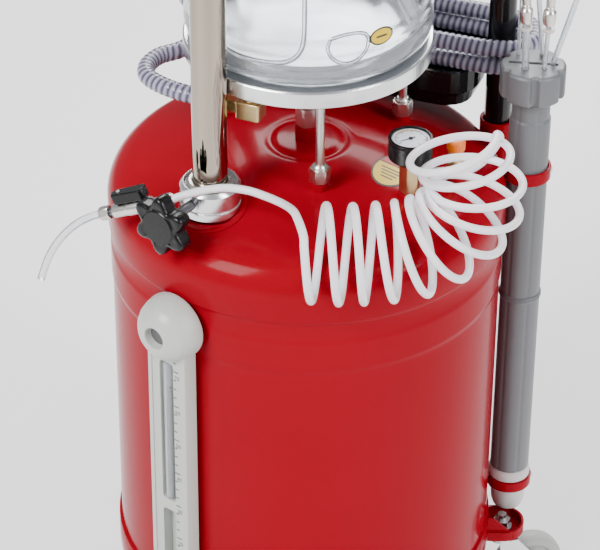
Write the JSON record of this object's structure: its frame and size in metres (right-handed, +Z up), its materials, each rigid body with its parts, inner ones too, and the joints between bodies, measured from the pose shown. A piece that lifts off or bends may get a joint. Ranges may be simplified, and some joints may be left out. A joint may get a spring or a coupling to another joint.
{
  "type": "mobile waste oil drainer",
  "caption": "Upright red tank on casters with a clear inspection chamber, telescopic drain bowl mast, probe holder, tool tray, gauges and coiled tube for draining oil.",
  "frame": {"origin": "on the floor, under the middle of the outline in plan, measured without the free tubes and hose", "axes": "+Z up, -Y towards the front where the level gauge and clamp knob are, +X to the right where the probe holder is"},
  "size_m": [0.5914, 0.6124, 1.345],
  "materials": {
    "aluminium": "machined, satin",
    "amber_plastic": "amber",
    "black_paint": "semi-gloss black",
    "black_plastic": "moulded, fine grain",
    "brass": "machined",
    "chrome": "polished",
    "clear_hose": "clear flexible hose",
    "clear_plastic": "clear, slightly blue",
    "grey_plastic": "moulded, satin",
    "milky_tube": "milky white flexible tube",
    "nickel": "nickel plated, bright",
    "pale_plastic": "moulded",
    "red_paint": "gloss red powder coat",
    "wheel_grey": "light grey",
    "white_plastic": "translucent white",
    "zinc": "zinc plated"
  },
  "bodies": {
    "frame": {"air_valve_body": "nickel", "bleed_tail": "clear_plastic", "bleed_valve_body": "nickel", "chamber_jar": "clear_plastic", "chamber_lid": "aluminium", "chamber_plate": "aluminium", "chamber_stay_1": "nickel", "chamber_stay_2": "nickel", "chamber_stay_3": "nickel", "coil_lead": "milky_tube", "coil_run": "milky_tube", "coil_turns": "milky_tube", "drip_cup": "white_plastic", "gauge_stem": "brass", "hose_coupling": "nickel", "leg_1": "red_paint", "leg_2": "red_paint", "leg_3": "red_paint", "level_gauge_frame": "pale_plastic", "level_gauge_tube": "clear_plastic", "lower_strap": "red_paint", "mast_bush": "brass", "mast_collar": "aluminium", "pressure_gauge": "black_plastic", "probe_holder_cap": "grey_plastic", "probe_holder_tube": "grey_plastic", "push_handle": "black_paint", "safety_valve_body": "brass", "suction_elbow": "brass", "suction_ferrule": "brass", "suction_hose": "clear_hose", "tank": "red_paint", "tool_tray": "black_plastic", "transfer_valve_body": "nickel", "upper_strap": "red_paint", "vacuum_ejector": "brass", "vacuum_gauge": "black_plastic", "vacuum_manifold": "aluminium"},
    "mast": {"mast_tube": "chrome", "bowl_valve_body": "nickel"},
    "bowl": {"drain_bowl": "red_paint"},
    "bowl_lever": {"bowl_valve_lever": "red_paint"},
    "knob": {"clamp_knob": "black_plastic"},
    "transfer_lever": {"transfer_valve_lever": "chrome"},
    "air_lever": {"air_valve_lever": "red_paint"},
    "bleed_lever": {"bleed_valve_lever": "black_plastic"},
    "safety_cap": {"safety_valve_cap": "amber_plastic"},
    "probe_wide": {"probe_wide": "clear_plastic"},
    "probe_narrow": {"probe_narrow": "clear_plastic"},
    "probe_thin_back": {"probe_thin_back": "clear_plastic"},
    "probe_straight_back": {"probe_straight_back": "clear_plastic"},
    "probe_leaning": {"probe_leaning": "clear_plastic"},
    "caster_1": {"caster_fork_1": "zinc"},
    "wheel_1": {"caster_wheel_1": "wheel_grey"},
    "caster_2": {"caster_fork_2": "zinc"},
    "wheel_2": {"caster_wheel_2": "wheel_grey"},
    "caster_3": {"caster_fork_3": "zinc"},
    "wheel_3": {"caster_wheel_3": "wheel_grey"},
    "pedal_2": {"brake_pedal_2": "black_plastic"},
    "pedal_3": {"brake_pedal_3": "black_plastic"}
  },
  "joints": [
    {"name": "mast_slide", "type": "slide", "parent": "frame", "child": "mast", "axis": [0, 0, 1], "range_m": [0, 0.35]},
    {"name": "bowl_swivel", "type": "hinge", "parent": "mast", "child": "bowl", "pos_m": [-0.07466, -0.08518, 1.25], "axis": [0, 0, 1], "continuous": true},
    {"name": "bowl_valve_turn", "type": "hinge", "parent": "mast", "child": "bowl_lever", "pos_m": [-0.07466, -0.11648, 1.17], "axis": [0, -1, 0], "range_deg": [0, 90]},
    {"name": "clamp_knob_turn", "type": "hinge", "parent": "frame", "child": "knob", "pos_m": [-0.07466, -0.08518, 0.5985], "axis": [-0.515, -0.8572, 0], "range_deg": [-180, 180]},
    {"name": "transfer_valve_turn", "type": "hinge", "parent": "frame", "child": "transfer_lever", "pos_m": [0.02115, 0.01578, 0.65929], "axis": [0.6691, -0.7431, 0], "range_deg": [0, 90]},
    {"name": "air_valve_turn", "type": "hinge", "parent": "frame", "child": "air_lever", "pos_m": [-0.03856, 0.03012, 0.9966], "axis": [0, 0, 1], "range_deg": [0, 90]},
    {"name": "bleed_valve_turn", "type": "hinge", "parent": "frame", "child": "bleed_lever", "pos_m": [-0.15007, -0.10781, 0.60131], "axis": [-0.3953, 0.0893, 0.9142], "range_deg": [0, 90]},
    {"name": "safety_valve_pull", "type": "slide", "parent": "frame", "child": "safety_cap", "axis": [0, 0, 1], "range_m": [0, 0.004], "stiffness_N_per_m": 500},
    {"name": "probe_wide_lift", "type": "slide", "parent": "frame", "child": "probe_wide", "axis": [-0.03, 0, 0.9996], "range_m": [0, 0.3]},
    {"name": "probe_narrow_lift", "type": "slide", "parent": "frame", "child": "probe_narrow", "axis": [0.03, -0.03, 0.9991], "range_m": [0, 0.3]},
    {"name": "probe_thin_back_lift", "type": "slide", "parent": "frame", "child": "probe_thin_back", "axis": [0, 0.02, 0.9998], "range_m": [0, 0.3]},
    {"name": "probe_straight_back_lift", "type": "slide", "parent": "frame", "child": "probe_straight_back", "axis": [-0.1093, 0.0298, 0.9936], "range_m": [0, 0.3]},
    {"name": "probe_leaning_lift", "type": "slide", "parent": "frame", "child": "probe_leaning", "axis": [0.2516, 0, 0.9678], "range_m": [0, 0.3]},
    {"name": "caster_swivel_1", "type": "hinge", "parent": "frame", "child": "caster_1", "pos_m": [0.22571, 0.04533, 0.09], "axis": [0, 0, 1], "range_deg": [-117.5, 76.5]},
    {"name": "wheel_spin_1", "type": "hinge", "parent": "caster_1", "child": "wheel_1", "pos_m": [0.25574, 0.05901, 0.04], "axis": [0.4147, -0.91, 0], "continuous": true},
    {"name": "caster_swivel_2", "type": "hinge", "parent": "frame", "child": "caster_2", "pos_m": [-0.08732, -0.16582, 0.09], "axis": [0, 0, 1], "range_deg": [-114, 80]},
    {"name": "wheel_spin_2", "type": "hinge", "parent": "caster_2", "child": "wheel_2", "pos_m": [-0.09249, -0.19841, 0.04], "axis": [-0.9877, 0.1564, 0], "continuous": true},
    {"name": "brake_press_2", "type": "hinge", "parent": "caster_2", "child": "pedal_2", "pos_m": [-0.0903, -0.18458, 0.085], "axis": [0.9877, -0.1564, 0], "range_deg": [0, 9]},
    {"name": "caster_swivel_3", "type": "hinge", "parent": "frame", "child": "caster_3", "pos_m": [-0.11366, 0.21085, 0.09], "axis": [0, 0, 1], "range_deg": [-127, 67]},
    {"name": "wheel_spin_3", "type": "hinge", "parent": "caster_3", "child": "wheel_3", "pos_m": [-0.14332, 0.22532, 0.04], "axis": [0.4384, 0.8988, 0], "continuous": true},
    {"name": "brake_press_3", "type": "hinge", "parent": "caster_3", "child": "pedal_3", "pos_m": [-0.13074, 0.21918, 0.085], "axis": [-0.4384, -0.8988, 0], "range_deg": [0, 9]}
  ]
}
